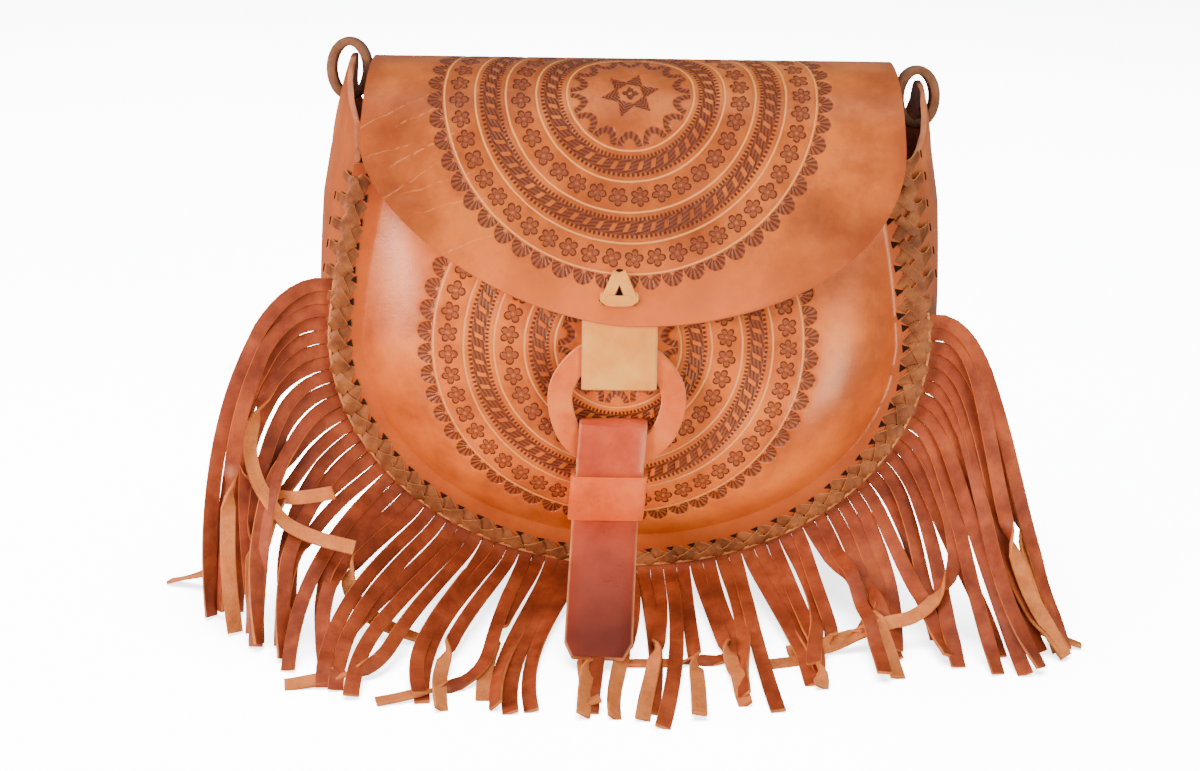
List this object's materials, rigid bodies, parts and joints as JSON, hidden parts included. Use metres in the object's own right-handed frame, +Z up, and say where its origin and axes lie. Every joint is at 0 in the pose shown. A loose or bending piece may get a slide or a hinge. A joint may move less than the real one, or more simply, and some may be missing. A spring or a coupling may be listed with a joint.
{
  "type": "leather saddle handbag with fringe",
  "caption": "Rounded flap-over handbag in tooled leather with laced edges, a gathered fringe, a ring and strap closure and two strap loops.",
  "frame": {"origin": "middle of the gusset's flattened underside, which the bag stands on", "axes": "+Z up, the front with the flap faces -Y, +X to the right as seen from the front"},
  "size_m": [0.4276, 0.224, 0.2518],
  "materials": {
    "tooled_leather": "glossy hand-tooled vegetable-tanned leather, orange tan with darker edges",
    "fringe_leather": "russet leather with a pale flesh side",
    "lace_leather": "matt tan lace",
    "natural_leather": "satin natural cream leather",
    "ring_leather": "satin peach leather with pale cut edges",
    "strap_leather": "glossy reddish brown leather",
    "keeper_leather": "satin saddle tan leather"
  },
  "bodies": {
    "root": {"back_flap": "tooled_leather", "front_panel": "tooled_leather", "gusset": "tooled_leather", "fringe": "fringe_leather", "front_lacing": "lace_leather", "back_lacing": "lace_leather", "closure_tab": "natural_leather", "closure_ring": "ring_leather", "closure_strap": "strap_leather", "strap_keeper": "keeper_leather", "tab_lace": "natural_leather", "strap_loop_left": "keeper_leather", "strap_loop_right": "keeper_leather"}
  },
  "joints": []
}
